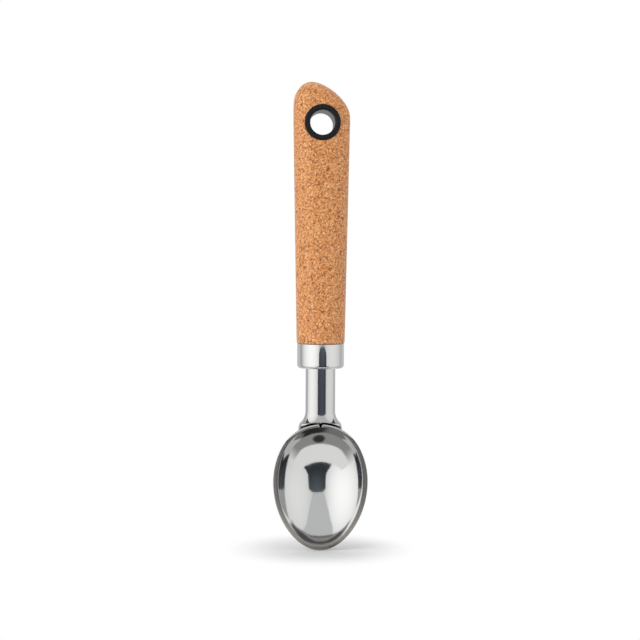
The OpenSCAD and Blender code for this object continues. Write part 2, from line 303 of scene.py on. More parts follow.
def keep_place(name):
    """Names the primitive that was just added."""
    ob = bpy.context.object
    ob.name = name
    bpy.ops.object.transform_apply()
    return ob


def draw(name, start, strokes):
    """Draws an outline in the XZ plane and leaves it in edit mode.

    A stroke is a corner (x, z) to go straight to, or an arc (x, z, degrees, steps) round a centre.
    """
    deselect()
    place = Vector((start[0], 0, start[1]))
    bpy.ops.mesh.primitive_plane_add(size=MM, location=place)
    ob = keep_place(name)
    bpy.ops.object.mode_set(mode="EDIT")
    bpy.ops.mesh.select_mode(type="VERT")
    select_whole()
    bpy.ops.mesh.merge(type="CENTER")
    for stroke in strokes:
        at = Vector((stroke[0], 0, stroke[1]))
        if len(stroke) == 2:
            bpy.ops.mesh.extrude_vertices_move(TRANSFORM_OT_translate={"value": at - place})
            place = at
        else:
            turn = math.radians(stroke[2])
            bpy.ops.mesh.spin(steps=stroke[3], angle=turn, center=at, axis=(0, 1, 0))
            place = at + Matrix.Rotation(-turn, 3, "Y") @ (place - at)
    return ob


def turned(name, start, strokes, steps=ROUND_STEPS):
    """Turns an outline about the Z axis, as on a lathe."""
    ob = draw(name, start, strokes)
    select_whole()
    bpy.ops.mesh.spin(steps=steps, angle=2 * math.pi, center=(0, 0, 0), axis=(0, 0, 1))
    close_form()
    return ob


def prism(name, start, strokes, front, depth):
    """Extrudes a closed outline backwards from its front face."""
    ob = draw(name, start, strokes)
    select_whole()
    bpy.ops.mesh.remove_doubles(threshold=WELD)
    bpy.ops.mesh.edge_face_add()
    bpy.ops.transform.translate(value=(0, front, 0))
    bpy.ops.mesh.extrude_region_move(TRANSFORM_OT_translate={"value": (0, depth, 0)})
    close_form()
    return ob


def squared_ring(name, sides, half_width, half_depth, power, place):
    """A ring in the XY plane, squarer than an ellipse by a power, left selected in edit mode."""
    deselect()
    bpy.ops.mesh.primitive_circle_add(vertices=sides, radius=half_width, location=place)
    ob = keep_place(name)
    bpy.ops.object.mode_set(mode="EDIT")
    square_up(ob, sides, half_width, power, place)
    select_whole()
    bpy.ops.transform.resize(value=(1, half_depth / half_width, 1), center_override=place)
    return ob


def square_up(ob, sides, radius, power, place):
    """Moves a round ring's points out onto the squarer curve, four alike at a time."""
    if power == 2:
        return
    for i in range(1, sides // 4):
        turn = 2 * math.pi * i / sides
        across = radius * math.cos(turn)
        up = radius * math.sin(turn)
        select(ob, "verts", lambda v: abs(abs(v.co.x - place[0]) - across) < WELD
               and abs(abs(v.co.y - place[1]) - up) < WELD)
        bpy.ops.transform.resize(
            value=(math.cos(turn) ** (2 / power - 1), math.sin(turn) ** (2 / power - 1), 1),
            center_override=place)


def extrude_rings(rings):
    """Extrudes the selected ring through a list of (centre, half width, half depth).

    The first of the list is the ring that is there.
    """
    for (old, old_width, old_depth), (new, width, depth) in zip(rings, rings[1:]):
        bpy.ops.mesh.extrude_region_move(TRANSFORM_OT_translate={"value": new - old})
        bpy.ops.transform.resize(value=(width / old_width, depth / old_depth, 1), center_override=new)


def dress(ob, name, node, materials):
    """Gives a finished piece its name, shading and materials, and puts it on the frame."""
    take(ob)
    ob.name = name
    ob.data.name = name
    bpy.ops.object.shade_smooth_by_angle(angle=CREASE)
    for material in materials:
        ob.data.materials.append(material)
    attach(ob, "root")
    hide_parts(node)
    deselect()


# Materials

def add(tree, kind, inputs=None, **settings):
    """Adds a node with its settings. An input is a value, a socket, or a node for its first output."""
    made = tree.nodes.new("ShaderNode" + kind)
    for name, value in settings.items():
        setattr(made, name, value)
    for name, value in (inputs or {}).items():
        if isinstance(value, bpy.types.Node):
            value = value.outputs[0]
        if isinstance(value, bpy.types.NodeSocket):
            tree.links.new(value, made.inputs[name])
        else:
            made.inputs[name].default_value = value
    return made


def blank_material(name):
    """A new material, its empty node tree and the piece's Object coordinates."""
    material = bpy.data.materials.new(name)
    material.use_nodes = True
    tree = material.node_tree
    tree.nodes.clear()
    return material, tree, add(tree, "TexCoord").outputs["Object"]


def solid(value, tone=1):
    """A colour with its alpha, darkened by a tone."""
    return (*[c * tone for c in value], 1)


def surface(tree, height, depth, look):
    """Ends a material: a relief with a depth in millimetres, and the shader with its look."""
    bump = add(tree, "Bump", {"Height": height, "Strength": 1, "Distance": depth * MM})
    shader = add(tree, "BsdfPrincipled", {**look, "Normal": bump})
    add(tree, "OutputMaterial", {"Surface": shader})


def buffed_stainless(name="Buffed stainless steel", roughness=0.085, depth=0.0006, tone=1):
    """Chromium steel finished on a soft wheel: a bright mirror, softened a little by fine marks."""
    material, tree, place = blank_material(name)
    # The wheel's marks run along the spoon, a third of a millimetre apart and twelve times as long.
    mark = 0.35 * MM
    marks_place = add(tree, "Mapping", {"Vector": place, "Scale": (1 / mark, 1 / mark, 1 / (12 * mark))})
    marks = add(tree, "TexNoise", {"Vector": marks_place, "Scale": 1, "Detail": 3, "Roughness": 0.6})
    # Soft cloudy patches some 6 mm across, where the wheel pressed more or less.
    patches = add(tree, "TexNoise", {"Vector": place, "Scale": 1 / (6 * MM), "Detail": 2})
    soft = add(tree, "MapRange", {
        "Value": patches, "From Min": NOISE_LOW, "From Max": NOISE_HIGH,
        "To Min": roughness * 0.85, "To Max": roughness * 1.2})
    surface(tree, marks, depth, {
        "Base Color": solid(option("finishes").steel, tone), "Metallic": 1, "Roughness": soft})
    return material


def ground_stainless():
    """The rim as a fine belt leaves it: satin, with fine lines that follow it round, a little brown."""
    material, tree, place = blank_material("Belt ground stainless steel")
    # The belt's lines follow the rim, a third of a millimetre apart. The oval is drawn in to a circle.
    middle = Egg().middle
    line = 0.35 * MM
    oval = 0.78
    round_place = add(tree, "Mapping", {
        "Vector": place, "Location": (0, -middle.y, -middle.z * oval), "Scale": (1, 1, oval)})
    distance = add(tree, "VectorMath", {0: round_place}, operation="LENGTH")
    across = add(tree, "Math", {0: distance.outputs["Value"], 1: line}, operation="DIVIDE")
    lines = add(tree, "TexNoise", {
        "W": across, "Scale": 1, "Detail": 2, "Roughness": 0.6}, noise_dimensions="1D")
    tone = add(tree, "Mix", {
        "Factor": lines, "A": solid(option("finishes").ground_steel, 0.82),
        "B": solid(option("finishes").ground_steel)}, data_type="RGBA")
    rough = add(tree, "MapRange", {
        "Value": lines, "From Min": NOISE_LOW, "From Max": NOISE_HIGH, "To Min": 0.26, "To Max": 0.36})
    surface(tree, lines, 0.004, {
        "Base Color": tone.outputs["Result"], "Metallic": 1, "Roughness": rough})
    return material


def turned_steel():
    """Plain steel bar from the lathe: even rings a quarter of a millimetre apart, a dull shine."""
    material, tree, place = blank_material("Turned plain steel")
    # A wave texture has 3.2 bands to the unit.
    ring = 0.25 * MM
    rings = add(tree, "TexWave", {
        "Vector": place, "Scale": 1 / (3.2 * ring), "Distortion": 0.6, "Detail": 1}, bands_direction="Z")
    surface(tree, rings.outputs["Fac"], 0.01, {
        "Base Color": solid(option("finishes").turned_steel), "Metallic": 1, "Roughness": 0.34})
    return material


def grain_lines(tree, place, offset, spacing, broken):
    """Thin curved lines between grains of a spacing, broken into strokes: 1 on a line, 0 off it."""
    # A line is full up to 3% of the spacing from its middle and ends at 15%.
    full, end = 0.03, 0.15
    moved = add(tree, "VectorMath", {0: place, 1: (offset,) * 3}, operation="ADD")
    borders = add(tree, "TexVoronoi", {"Vector": moved, "Scale": 1 / spacing}, feature="DISTANCE_TO_EDGE")
    line = add(tree, "MapRange", {
        "Value": borders, "From Min": full, "From Max": end,
        "To Min": 1, "To Max": 0}, interpolation_type="SMOOTHSTEP")
    # The strokes are broken about every 0.7 of the spacing.
    breaks = add(tree, "TexNoise", {"Vector": moved, "Scale": 1 / (0.7 * spacing), "Detail": 1})
    kept = add(tree, "MapRange", {"Value": breaks, "From Min": broken, "From Max": broken + 0.1})
    return add(tree, "Math", {0: line, 1: kept}, operation="MULTIPLY")


def grain_spots(tree, place, offset, spacing, radius, share):
    """Small round spots in a share of the cells of a spacing: 1 on a spot, 0 off it.

    A spot is full to four tenths of its radius.
    """
    moved = add(tree, "VectorMath", {0: place, 1: (offset,) * 3}, operation="ADD")
    cells = add(tree, "TexVoronoi", {"Vector": moved, "Scale": 1 / spacing})
    chance = add(tree, "SeparateColor", {"Color": cells.outputs["Color"]})
    picked = add(tree, "Math", {0: chance, 1: share}, operation="LESS_THAN")
    spot = add(tree, "MapRange", {
        "Value": cells, "From Min": 0.4 * radius / spacing, "From Max": radius / spacing,
        "To Min": 1, "To Max": 0}, interpolation_type="SMOOTHSTEP")
    return add(tree, "Math", {0: spot, 1: picked}, operation="MULTIPLY")


def agglomerated_cork():
    """Cork granules pressed with a binder and sanded: a fine warm mottle, bark specks and a low sheen."""
    material, tree, place = blank_material("Sanded agglomerated cork")
    finish = option("finishes")
    # The granules are bent out of shape by a wander of about half a millimetre.
    wander_size = 1.6 * MM
    wander = add(tree, "TexNoise", {"Vector": place, "Scale": 1 / wander_size, "Detail": 2})
    shift = add(tree, "VectorMath", {
        0: wander.outputs["Color"], 1: (wander_size,) * 3, 2: place}, operation="MULTIPLY_ADD")
    # A low mottle, in patches of about 0.8 mm, between the dark and the pale granules.
    mottle = add(tree, "TexNoise", {
        "Vector": shift, "Scale": 1 / (0.8 * MM), "Detail": 3, "Roughness": 0.6})
    tone = add(tree, "ValToRGB", {"Fac": mottle})
    stops = tone.color_ramp.elements
    stops.new(0.5).color = solid(finish.cork)
    for stop, position, shade in ((stops[0], 0.3, finish.cork_dark), (stops[2], 0.72, finish.cork_pale)):
        stop.position = position
        stop.color = solid(shade)
    # Pale cell walls curl round the granules, with gaps of brown binder between others.
    mixed = tone
    for shade, strength, lines_offset, lines_spacing, spots_offset, spots_spacing, radius in (
            (finish.cork_pale, 0.75, 0, 1.5, 7, 1.7, 0.42),
            (finish.bark, 0.85, 13, 1.8, 21, 1.5, 0.36)):
        lines = grain_lines(tree, shift, lines_offset * MM, lines_spacing * MM, 0.5)
        spots = grain_spots(tree, shift, spots_offset * MM, spots_spacing * MM, radius * MM, 0.4)
        grain = add(tree, "Math", {0: lines, 1: spots}, operation="MAXIMUM")
        part = add(tree, "Math", {0: grain, 1: strength}, operation="MULTIPLY")
        mixed = add(tree, "Mix", {
            "Factor": part, "A": mixed, "B": solid(shade)}, data_type="RGBA").outputs["Result"]
    # The sanded face: granules stand out by a few hundredths of a millimetre, the gaps lie deeper.
    height = add(tree, "Math", {0: grain, 1: -1.2, 2: mottle}, operation="MULTIPLY_ADD")
    surface(tree, height, 0.05, {
        "Base Color": mixed, "Roughness": 0.48, "IOR": 1.5,
        "Sheen Weight": 0.22, "Sheen Roughness": 0.4, "Sheen Tint": (1, 0.93, 0.86, 1)})
    return material


def moulded_plastic():
    """Black polypropylene from a polished mould: a deep blue-black with a slightly rippled shine."""
    material, tree, place = blank_material("Gloss black moulded polypropylene")
    # Faint flow ripple from the mould, 1.5 mm apart.
    ripple = add(tree, "TexNoise", {"Vector": place, "Scale": 1 / (1.5 * MM), "Detail": 2})
    rough = add(tree, "MapRange", {
        "Value": ripple, "From Min": NOISE_LOW, "From Max": NOISE_HIGH, "To Min": 0.3, "To Max": 0.38})
    surface(tree, ripple, 0.01, {
        "Base Color": solid(option("finishes").plastic), "Roughness": rough,
        "IOR": 1.49, "Specular IOR Level": 0.35})
    return material


# Pieces

class Egg:
    """One of the eggs that the bowl is pressed from: its rim outline, and the axis it is turned on.

    The axis lies in front of the rim's face, so that the face cuts a shallow cup off the egg.
    """

    def __init__(self, inside=False):
        sizes = option("bowl")
        self.middle = Vector((0, BOWL_LOW.y, rim_top() - sizes.crown_length))
        self.half_width = BOWL_HIGH.x
        depth = BOWL_HIGH.y - BOWL_LOW.y
        self.crown = (sizes.crown_length, sizes.crown_radius)
        self.toe = (self.middle.z - BOWL_LOW.z, sizes.toe_radius)
        if inside:
            self.half_width -= sizes.rim
            depth = sizes.depth
            self.crown = (self.crown[0] - sizes.crown_rim, sizes.crown_radius - sizes.rim)
            self.toe = (self.toe[0] - sizes.toe_rim, sizes.toe_radius - sizes.rim)
        self.out = (self.half_width ** 2 - depth ** 2) / (2 * depth)

    def outline(self, out, grow):
        """The right half of the egg's outline from tip to crown, with the axis that far out in front.

        At no distance it is the rim's own outline. All its arcs are wider by what it grows.
        """
        steps = BOWL_SIDES // 8
        half_width = math.hypot(self.half_width, out)
        ends = []
        for end_length, radius in (self.toe, self.crown):
            rise = end_length - radius
            end_radius = math.hypot(radius, out)
            less = half_width - end_radius
            side = (rise ** 2 - less ** 2) / (2 * less)
            ends.append((rise, side, math.degrees(math.atan2(rise, side)), rise + end_radius))
        (toe_rise, toe_side, toe_turn, toe_end), (crown_rise, crown_side, crown_turn, _) = ends
        return (0, -toe_end - grow), [
            (0, -toe_rise, 90 - toe_turn, steps),
            (-toe_side, 0, toe_turn, steps),
            (-crown_side, 0, crown_turn, steps),
            (0, crown_rise, 90 - crown_turn, steps),
        ]

    def former(self, name, grow=0):
        """The whole egg, turned about its axis."""
        start, strokes = self.outline(self.out, grow)
        ob = turned(name, start, strokes, BOWL_SIDES)
        ob.location = self.middle - Vector((0, self.out, 0))
        bpy.ops.object.transform_apply()
        return ob

    def prism(self, name, grow, front, depth):
        """The rim's outline, grown by a distance and extruded."""
        start, strokes = self.outline(0, grow)
        whole = strokes + [(-x, z, turn, steps) for x, z, turn, steps in reversed(strokes)]
        ob = prism(name, start, whole, front, depth)
        ob.location.z = self.middle.z
        bpy.ops.object.transform_apply()
        return ob

    def shell(self, name):
        """The cup's face: rings of small quads inside the rim's outline, pressed back onto the former."""
        former = self.former(name + "_former")
        half_height = (self.crown[0] + self.toe[0]) / 2
        centre = self.middle + Vector((0, 0, self.crown[0] - half_height))
        deselect()
        bpy.ops.mesh.primitive_circle_add(
            vertices=BOWL_SIDES, radius=self.half_width, location=centre, rotation=(math.pi / 2, 0, 0))
        bpy.context.object.scale.y = half_height / self.half_width
        ob = keep_place(name)
        apply(ob, "SHRINKWRAP", target=former, wrap_method="PROJECT", use_project_x=True,
              use_negative_direction=True)
        edit(ob)
        select_whole()
        # 21 rings lead in from 95% to 35% of the size, and a grid fills the last.
        share = 1
        for smaller in [0.95 - 0.03 * i for i in range(21)]:
            bpy.ops.mesh.extrude_region_move()
            bpy.ops.transform.resize(value=(smaller / share,) * 3, center_override=self.middle)
            share = smaller
        bpy.ops.mesh.fill_grid(span=BOWL_SIDES // 4)
        turn_outwards()
        apply(ob, "SHRINKWRAP", target=former, wrap_method="PROJECT", use_project_y=True)
        remove(former)
        return ob


def rim_top():
    """Height of the top of the rim, under the neck."""
    return FERRULE_LOW.z - option("neck").length


class SPOON_OT_bowl(bpy.types.Operator):
    """Presses the egg-shaped bowl, grinds its rim and files the notch"""
    bl_idname = "spoon.bowl"
    bl_label = "Bowl"

    def execute(self, context):
        sizes = option("bowl")
        rim = BOWL_LOW.y
        ob = Egg().shell("bowl_outside")
        inside = Egg(inside=True).shell("bowl_inside")
        edit(inside)
        select_whole()
        bpy.ops.mesh.flip_normals()
        join(ob, inside)
        edit(ob)
        select(ob, "edges", lambda e: e.is_boundary)
        bpy.ops.mesh.bridge_edge_loops(number_cuts=1, interpolation="LINEAR")
        turn_outwards()
        self.slope_crown(ob, sizes, rim)
        # The rim's two edges are softened.
        for outer, width in ((False, sizes.inner_edge), (True, sizes.outer_edge)):
            select(ob, "edges", lambda e: all(v.co.y - rim < sizes.crown_slope + WELD for v in e.verts)
                   and self.is_sharp(e) and self.on_outside(e) == outer)
            bpy.ops.mesh.bevel(offset=width, segments=4)
        deselect()
        top = rim_top()
        half = sizes.notch_width / 2
        notch = prism(
            "notch", (0, top - sizes.notch_height),
            [(half, top), (half, top + PAST), (-half, top + PAST), (-half, top)],
            rim - PAST, PAST + sizes.rim)
        cut(ob, notch)
        apply(ob, "WEIGHTED_NORMAL", keep_sharp=True)
        dress(ob, "egg_bowl", "bowl",
              [buffed_stainless("Mirror buffed stainless steel", roughness=0.075, depth=0.0003),
               ground_stainless()])
        # The belt grinds the rim's face and takes its softened inner edge along.
        middle = Egg().middle
        # How far forwards a normal points on the flat face, and at least on that edge.
        face_on, edge_on = -0.97, -0.15
        for face in ob.data.polygons:
            level = face.normal.y < face_on and abs(face.center.y - rim) < WELD
            inwards = (face.center - middle).dot(face.normal) < 0 and face.normal.y < edge_on
            if level or inwards and face.center.y - rim < sizes.inner_edge:
                face.material_index = 1
        return {"FINISHED"}

    def slope_crown(self, ob, sizes, rim):
        """Slopes the rim's outer half back under the neck, in steps that add up towards the top."""
        steps = 15
        top = rim_top()
        for i in range(1, steps + 1):
            low = top - sizes.crown_slope_height * (1 - (i - 1) / steps)
            select(ob, "verts", lambda v: v.co.z > low and v.co.y - rim < sizes.crown_slope + WELD
                   and any(self.is_sharp(e) and self.on_outside(e) for e in v.link_edges))
            bpy.ops.transform.translate(value=(0, sizes.crown_slope / steps, 0))

    @staticmethod
    def is_sharp(edge):
        """Tells whether two faces meet at this edge like a corner."""
        return len(edge.link_faces) == 2 and edge.calc_face_angle() > CORNER

    @staticmethod
    def on_outside(edge):
        """Tells whether an edge of the rim lies on the bowl's outside."""
        return min(edge.link_faces, key=lambda f: abs(f.normal.y)).normal.y > 0


class SPOON_OT_neck(bpy.types.Operator):
    """Draws the hollow neck down to its flare and tongue, and trims it to the bowl"""
    bl_idname = "spoon.neck"
    bl_label = "Neck"

    def flare(self, sizes, height):
        """How far the neck has flared out at a height above the rim."""
        grow = (sizes.flare_width - sizes.width) / 2
        radius = (sizes.flare_height ** 2 + grow ** 2) / (2 * grow)
        down = min(max(sizes.flare_height - height, 0), sizes.flare_height)
        return radius - math.sqrt(radius ** 2 - down ** 2)

    def ring(self, sizes, height):
        """Centre, half width and half depth of the neck at a height above the rim."""
        rim_height = rim_top()
        tongue = rim_height - NECK_LOW.z
        flare = self.flare(sizes, height)
        if height >= 0:
            half = sizes.width / 2 + flare
        elif height >= -sizes.shoulder_height:
            wider = sizes.shoulder_width - sizes.flare_width
            half = (sizes.flare_width - wider * height / sizes.shoulder_height) / 2
        else:
            down = (height + sizes.shoulder_height) / (tongue - sizes.shoulder_height + PAST)
            half = sizes.shoulder_width / 2 * math.sqrt(1 - down ** 2)
        front = -sizes.depth / 2 - sizes.lip_out * (flare / self.flare(sizes, 0))
        share = min(max((sizes.sweep_height - height) / (sizes.sweep_height + tongue), 0), 1)
        egg = Egg()
        radius = egg.crown[1]
        egg_back = egg.middle.y - egg.out + math.sqrt(radius ** 2 + egg.out ** 2 - (radius - tongue) ** 2)
        # The back leaves the tube slowly and bends more towards the tongue's end.
        sweep = share ** 1.6
        back = sizes.depth / 2 + (egg_back + sizes.tongue_over - sizes.depth / 2) * sweep
        return Vector((0, (front + back) / 2, rim_height + height)), half, (back - front) / 2

    def execute(self, context):
        sizes = option("neck")
        tongue = rim_top() - NECK_LOW.z
        top = NECK_HIGH.z - rim_top()
        # Rings down the tube, closer together through the flare, and down the tongue.
        heights = [top, top * 0.75, sizes.sweep_height, sizes.sweep_height * 0.75]
        flare_rings = 12
        heights += [sizes.flare_height * (1.15 - i / flare_rings) for i in range(flare_rings + 2)]
        tongue_rings = 8
        heights = [h for h in heights if h > 0]
        heights += [-tongue * i / tongue_rings for i in range(tongue_rings + 1)]
        rings = [self.ring(sizes, h) for h in heights]
        centre, half_width, half_depth = rings[0]
        ob = squared_ring("neck_tube", TUBE_SIDES, half_width, half_depth, sizes.squareness, centre)
        extrude_rings(rings)
        # The open ends are capped while the faces are turned outwards.
        select(ob, "edges", lambda e: e.is_boundary)
        bpy.ops.mesh.edge_face_add()
        turn_outwards()
        select(ob, "faces", lambda f: len(f.verts) > 4)
        bpy.ops.mesh.delete(type="ONLY_FACE")
        deselect()
        apply(ob, "SUBSURF", levels=SUBDIVISIONS, render_levels=SUBDIVISIONS)
        apply(ob, "SOLIDIFY", thickness=sizes.sheet, offset=-1, use_even_offset=True)
        egg = Egg()
        seat_gap = 0.03 * MM
        cut(ob, egg.former("seat_former", seat_gap))
        # The gap between the front lip and the rim is cut by the rim's own outline, grown by the gap.
        # The tool starts well in front of the neck.
        front = -3 * sizes.depth
        gap_tool = egg.prism("gap_tool", sizes.lip_gap, front, egg.middle.y + sizes.lip_depth - front)
        # A V taken out of that tool leaves the pointed tab standing in the middle of the lip.
        lip = rim_top() + sizes.lip_gap
        tab = sizes.tab_width
        tab_tool = prism(
            "tab_tool", (0, lip - tab), [(tab / 2, lip + PAST), (-tab / 2, lip + PAST)],
            front - PAST, -front - PAST)
        cut(gap_tool, tab_tool)
        cut(ob, gap_tool)
        dress(ob, "pressed_neck", "neck", [buffed_stainless(tone=0.92)])
        return {"FINISHED"}


class SPOON_OT_ferrule(bpy.types.Operator):
    """Turns the drawn steel ferrule and opens its floor for the neck"""
    bl_idname = "spoon.ferrule"
    bl_label = "Ferrule"

    def execute(self, context):
        sizes = option("ferrule")
        neck = option("neck")
        low, high = FERRULE_LOW.z, FERRULE_HIGH.z
        outer = FERRULE_HIGH.x
        bore = outer - sizes.sheet
        inner_corner = sizes.corner - sizes.sheet
        ob = turned("ferrule_cup", (0, low), [
            (outer - sizes.corner, low),
            (outer - sizes.corner, low + sizes.corner, 90, 12),
            (outer, high - sizes.lip),
            (outer - sizes.lip, high - sizes.lip, 90, 6),
            (bore, high),
            (bore, low + sizes.corner),
            (bore - inner_corner, low + sizes.corner, -90, 8),
            (0, low + sizes.sheet),
        ])
        fit = option("grip").fit
        hole = squared_ring(
            "hole_tool", 2 * TUBE_SIDES, neck.width / 2 + fit, neck.depth / 2 + fit, neck.squareness,
            Vector((0, 0, low - PAST)))
        bpy.ops.mesh.edge_face_add()
        bpy.ops.mesh.extrude_region_move(
            TRANSFORM_OT_translate={"value": (0, 0, sizes.sheet + 2 * PAST)})
        close_form()
        cut(ob, hole)
        dress(ob, "drawn_ferrule", "ferrule",
              [buffed_stainless("Drawn and buffed stainless steel", roughness=0.075)])
        return {"FINISHED"}


class SPOON_OT_grip(bpy.types.Operator):
    """Shapes the cork grip from its round foot to its sloping head, and bores it"""
    bl_idname = "spoon.grip"
    bl_label = "Grip"

    def top_edges(self, sizes, height):
        """The left and right edge of the head at a height, from the arcs of its outline."""
        half = GRIP_HIGH.x
        peak = Vector((sizes.peak_radius - half, GRIP_HIGH.z - sizes.peak_radius))
        shoulder = Vector((half - sizes.shoulder_radius, peak.y - sizes.shoulder_drop))
        # The brow's centre, from the distances at which its arc touches both corners.
        peak_reach = sizes.brow_radius - sizes.peak_radius
        shoulder_reach = sizes.brow_radius - sizes.shoulder_radius
        apart = shoulder - peak
        along = (apart.length ** 2 + peak_reach ** 2 - shoulder_reach ** 2) / (2 * apart.length)
        across = math.sqrt(peak_reach ** 2 - along ** 2)
        way = apart.normalized()
        brow = peak + along * way + across * Vector((way.y, -way.x))
        high_meet = brow.y + (peak.y - brow.y) * sizes.brow_radius / peak_reach
        low_meet = brow.y + (shoulder.y - brow.y) * sizes.brow_radius / shoulder_reach

        def arc(centre, radius):
            return math.sqrt(max(radius ** 2 - (height - centre.y) ** 2, 0))

        rise = min(max(height - GRIP_HIGH.z + sizes.peak_height, 0) / sizes.peak_height, 1)
        left = peak.x - sizes.peak_radius * math.sqrt(1 - rise ** 2)
        if height <= shoulder.y:
            right = half
        elif height <= low_meet:
            right = shoulder.x + arc(shoulder, sizes.shoulder_radius)
        elif height <= high_meet:
            right = brow.x + arc(brow, sizes.brow_radius)
        else:
            right = peak.x + arc(peak, sizes.peak_radius)
        return left, right

    def head_ring(self, sizes, height):
        """Centre, half width and half depth of the head at a height above the eyelet's middle."""
        left, right = self.top_edges(sizes, height)
        rise = max((height - GRIP_HIGH.z + sizes.crown_height) / sizes.crown_height, 0)
        depth = sizes.head_depth / 2 * (1 - rise ** sizes.crown_power) ** (1 / sizes.crown_power)
        return Vector(((left + right) / 2, 0, height)), (right - left) / 2, depth

    def execute(self, context):
        sizes = option("grip")
        foot = FERRULE_HIGH.z
        foot_half = sizes.foot_width / 2
        # The foot's ring and the head's ring, joined by the long tapering body.
        body_foot = Vector((0, 0, foot + sizes.foot_round))
        foot_ring = squared_ring("grip_foot", TUBE_SIDES, foot_half, foot_half, 2, body_foot)
        ob = squared_ring(
            "cork", TUBE_SIDES, GRIP_HIGH.x, sizes.head_depth / 2, sizes.squareness, Vector((0, 0, 0)))
        join(ob, foot_ring)
        edit(ob)
        select_whole()
        body_rings = 9
        bpy.ops.mesh.bridge_edge_loops(number_cuts=body_rings, interpolation="LINEAR")
        # Head: rings closer together towards the top, a third of a step short of it, then one small face.
        head_rings = 22
        turns = [math.pi / 2 * i / (head_rings + 0.3) for i in range(head_rings + 1)]
        select(ob, "verts", lambda v: abs(v.co.z) < WELD)
        extrude_rings([self.head_ring(sizes, GRIP_HIGH.z * math.sin(turn)) for turn in turns])
        bpy.ops.mesh.edge_face_add()
        bpy.ops.mesh.poke()
        # Foot: the rounded edge, the flat shoulder that sits on the ferrule, and the spigot inside it.
        select(ob, "verts", lambda v: abs(v.co.z - body_foot.z) < WELD)
        round_steps = 4
        turns = [math.pi / 2 * i / round_steps for i in range(round_steps + 1)]
        profile = [(body_foot.z - sizes.foot_round * math.sin(turn),
                    foot_half - sizes.foot_round * (1 - math.cos(turn))) for turn in turns]
        spigot = FERRULE_HIGH.x - option("ferrule").sheet - sizes.fit
        sharp = 2 * sizes.fit
        profile += [
            (foot, spigot + sharp), (foot, spigot), (foot - sharp, spigot),
            (GRIP_LOW.z + sharp, spigot), (GRIP_LOW.z, spigot), (GRIP_LOW.z, spigot - sharp)]
        extrude_rings([(Vector((0, 0, height)), radius, radius) for height, radius in profile])
        bpy.ops.mesh.edge_face_add()
        close_form()
        apply(ob, "SUBSURF", levels=SUBDIVISIONS, render_levels=SUBDIVISIONS)
        self.bore(ob, sizes)
        dress(ob, "cork_grip", "grip", [agglomerated_cork()])
        return {"FINISHED"}

    def bore(self, ob, sizes):
        """Opens the holes for the tang and for the eyelet with its two flanges."""
        tang = TANG_HIGH.x + sizes.fit
        start, end = GRIP_LOW.z - PAST, TANG_HIGH.z + 2 * PAST
        cut(ob, turned("tang_drill", (0, start), [(tang, start), (tang, end), (0, end)], steps=64))
        eyelet = option("eyelet")
        sleeve = eyelet.bore / 2 + eyelet.sleeve + sizes.fit
        flange = EYELET_HIGH.x + sizes.fit
        floor = -EYELET_LOW.y - eyelet.flange
        past = floor + 2 * eyelet.flange
        cutter = turned("eyelet_drill", (0, -past), [
            (flange, -past), (flange, -floor), (sleeve, -floor),
            (sleeve, floor), (flange, floor), (flange, past), (0, past)])
        cutter.rotation_euler.x = math.pi / 2
        bpy.ops.object.transform_apply()
        cut(ob, cutter)


class SPOON_OT_eyelet(bpy.types.Operator):
    """Moulds the two halves of the hanging eyelet"""
    bl_idname = "spoon.eyelet"
    bl_label = "Eyelet"

    def half(self, sizes, name, wall_in, wall_out):
        """One half, its sleeve along the Z axis and its flange on top. The lap lies between two radii."""
        face = -EYELET_LOW.y
        bore = sizes.bore / 2
        flange = EYELET_HIGH.x
        seat = face - sizes.flange
        sleeve = bore + sizes.sleeve
        lap = sizes.lap / 2
        return turned(name, (wall_in, -lap), [
            (wall_out, -lap),
            (wall_out, lap),
            (sleeve, lap),
            (sleeve, seat),
            (flange, seat),
            (flange, face - sizes.edge),
            (flange - sizes.edge, face - sizes.edge, 90, 8),
            (bore + sizes.mouth, face),
            (bore + sizes.mouth, face - sizes.mouth, 90, 10),
            (bore, lap),
            (wall_in, lap),
            (wall_in, -lap),
        ])

    def execute(self, context):
        sizes = option("eyelet")
        middle = (sizes.bore + sizes.sleeve) / 2
        bore = sizes.bore / 2
        plastic = moulded_plastic()
        halves = (
            ("eyelet_front_half", "eyelet_front", bore, middle - sizes.fit / 2, math.pi / 2),
            ("eyelet_back_half", "eyelet_back", middle + sizes.fit / 2, bore + sizes.sleeve, -math.pi / 2),
        )
        for name, node, wall_in, wall_out, turn in halves:
            ob = self.half(sizes, name, wall_in, wall_out)
            ob.rotation_euler.x = turn
            bpy.ops.object.transform_apply()
            dress(ob, name, node, [plastic])
        return {"FINISHED"}


class SPOON_OT_hidden_steel(bpy.types.Operator):
    """Gives the anchor and the tang, which stay as the frame has them, their turned steel"""
    bl_idname = "spoon.hidden_steel"
    bl_label = "Anchor and tang"

    def execute(self, context):
        steel = turned_steel()
        for name in ("anchor", "tang"):
            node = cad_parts[name]
            node.data.materials.clear()
            node.data.materials.append(steel)
        return {"FINISHED"}


